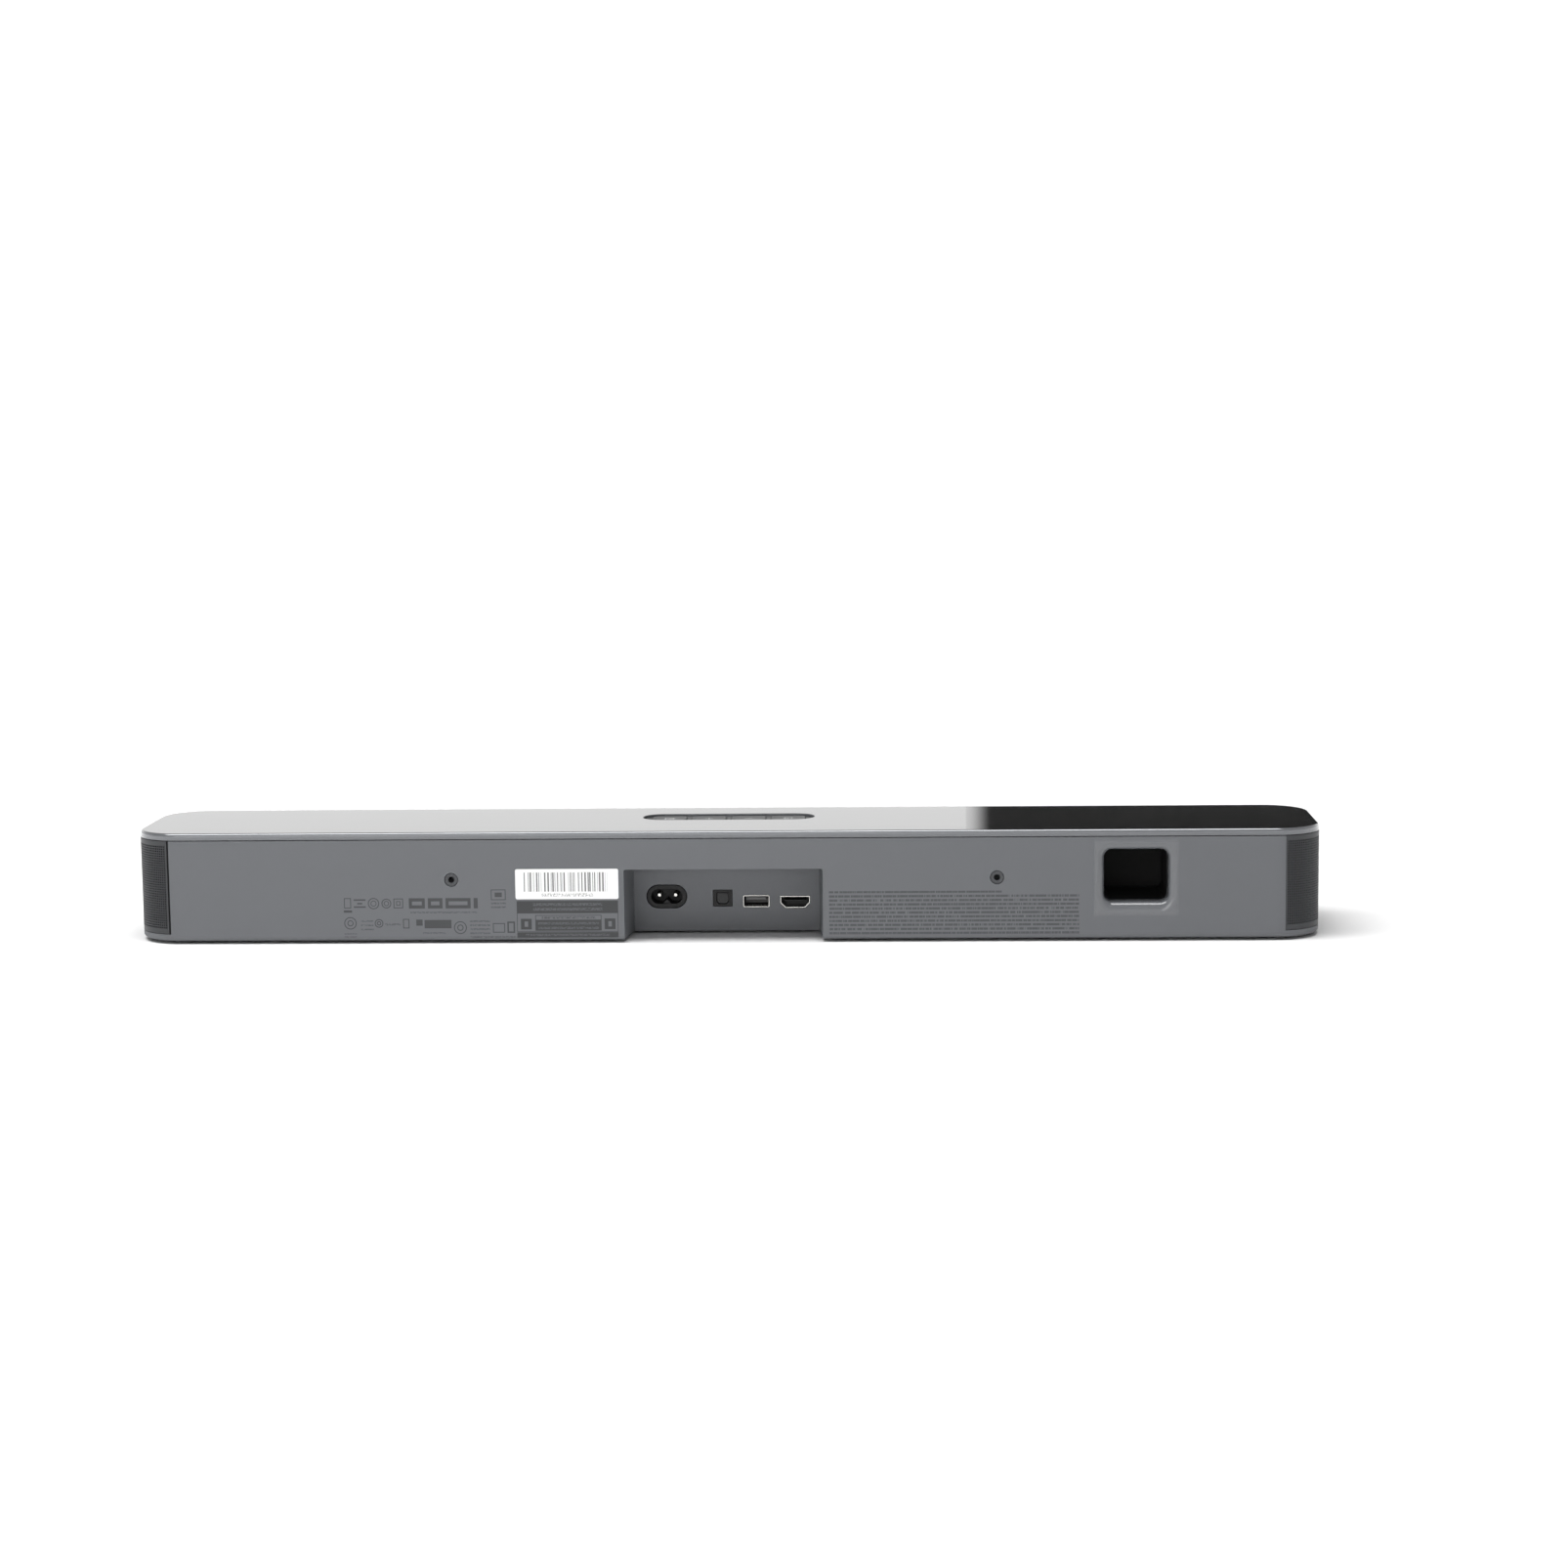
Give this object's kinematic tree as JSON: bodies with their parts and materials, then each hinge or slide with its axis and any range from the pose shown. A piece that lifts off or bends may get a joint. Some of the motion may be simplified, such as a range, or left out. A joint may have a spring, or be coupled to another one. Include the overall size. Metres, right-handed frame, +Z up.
{
  "type": "soundbar",
  "caption": "Compact soundbar: rounded tub with a gloss lid, wrap-round perforated grille, rear connector bay, flared bass port, top keys and sprung driver cones.",
  "frame": {"origin": "on the table under the middle of the bar, level with the soles of the rubber feet", "axes": "+X along the bar towards the listener's right, +Y towards the wall (the connector side), +Z up"},
  "size_m": [0.614, 0.09, 0.058],
  "materials": {
    "grey_plastic": "fine textured",
    "gloss_black": "high gloss",
    "grille_paint": "satin",
    "black_plastic": "matte",
    "key_plastic": "satin",
    "nickel": "satin plated",
    "black_steel": "blackened",
    "white_label": "laminated",
    "black_rubber": "matte",
    "zinc_steel": "zinc plated",
    "circuit_board": "solder mask",
    "ferrite": "matte",
    "foam": "matte",
    "cone_paper": "matte",
    "copper": "enamelled",
    "aluminium": "extruded",
    "capacitor_sleeve": "satin",
    "smoked_window": "gloss",
    "wadding": "fluffy",
    "cable_film": "satin"
  },
  "bodies": {
    "housing": {"amplifier_heatsink": "aluminium", "bass_port_tube": "black_plastic", "button_board": "circuit_board", "case_screw_1": "zinc_steel", "case_screw_2": "zinc_steel", "case_screw_3": "zinc_steel", "case_screw_4": "zinc_steel", "cone_surround_left": "black_rubber", "cone_surround_right": "black_rubber", "control_tray": "black_plastic", "damping_pad_left": "wadding", "damping_pad_right": "wadding", "driver_frame_left": "zinc_steel", "driver_frame_right": "zinc_steel", "driver_gasket_left": "foam", "driver_gasket_right": "foam", "driver_magnet_left": "ferrite", "driver_magnet_right": "ferrite", "front_baffle": "black_plastic", "front_grille": "grille_paint", "hdmi_shell": "nickel", "hdmi_tongue": "black_plastic", "inlet_pin_left": "nickel", "inlet_pin_right": "nickel", "ir_board": "circuit_board", "key_switch_1": "black_plastic", "key_switch_2": "black_plastic", "key_switch_3": "black_plastic", "key_switch_4": "black_plastic", "main_board": "circuit_board", "main_capacitor": "capacitor_sleeve", "optical_jack": "black_plastic", "power_board": "circuit_board", "power_inlet": "black_plastic", "rating_label": "white_label", "rear_housing": "grey_plastic", "ribbon_cable": "cable_film", "rubber_foot_1": "black_rubber", "rubber_foot_2": "black_rubber", "rubber_foot_3": "black_rubber", "rubber_foot_4": "black_rubber", "speaker_lead_left": "black_rubber", "speaker_lead_right": "black_rubber", "status_window": "smoked_window", "top_cover": "gloss_black", "transformer": "ferrite", "usb_shell": "nickel", "usb_tongue": "black_plastic", "wall_insert_left": "black_steel", "wall_insert_right": "black_steel", "wireless_module": "circuit_board"},
    "power_button": {"power_button": "key_plastic"},
    "volume_down_button": {"volume_down_button": "key_plastic"},
    "volume_up_button": {"volume_up_button": "key_plastic"},
    "source_button": {"source_button": "key_plastic"},
    "optical_shutter": {"optical_shutter": "black_plastic"},
    "cone_left": {"speaker_cone_left": "cone_paper", "voice_coil_left": "copper"},
    "cone_right": {"speaker_cone_right": "cone_paper", "voice_coil_right": "copper"}
  },
  "joints": [
    {"name": "power_button_press", "type": "slide", "parent": "housing", "child": "power_button", "axis": [0, 0, -1], "range_m": [0, 0.0006], "stiffness_N_per_m": 800},
    {"name": "volume_down_button_press", "type": "slide", "parent": "housing", "child": "volume_down_button", "axis": [0, 0, -1], "range_m": [0, 0.0006], "stiffness_N_per_m": 800},
    {"name": "volume_up_button_press", "type": "slide", "parent": "housing", "child": "volume_up_button", "axis": [0, 0, -1], "range_m": [0, 0.0006], "stiffness_N_per_m": 800},
    {"name": "source_button_press", "type": "slide", "parent": "housing", "child": "source_button", "axis": [0, 0, -1], "range_m": [0, 0.0006], "stiffness_N_per_m": 800},
    {"name": "shutter_swing", "type": "hinge", "parent": "housing", "child": "optical_shutter", "pos_m": [0.0021, 0.0166, 0.0212], "axis": [-1, 0, 0], "range_deg": [0, 80], "stiffness_Nm_per_rad": 0.0005},
    {"name": "cone_left_travel", "type": "slide", "parent": "housing", "child": "cone_left", "axis": [0, -1, 0], "range_m": [-0.002, 0.002], "stiffness_N_per_m": 1500},
    {"name": "cone_right_travel", "type": "slide", "parent": "housing", "child": "cone_right", "axis": [0, -1, 0], "range_m": [-0.002, 0.002], "stiffness_N_per_m": 1500}
  ]
}
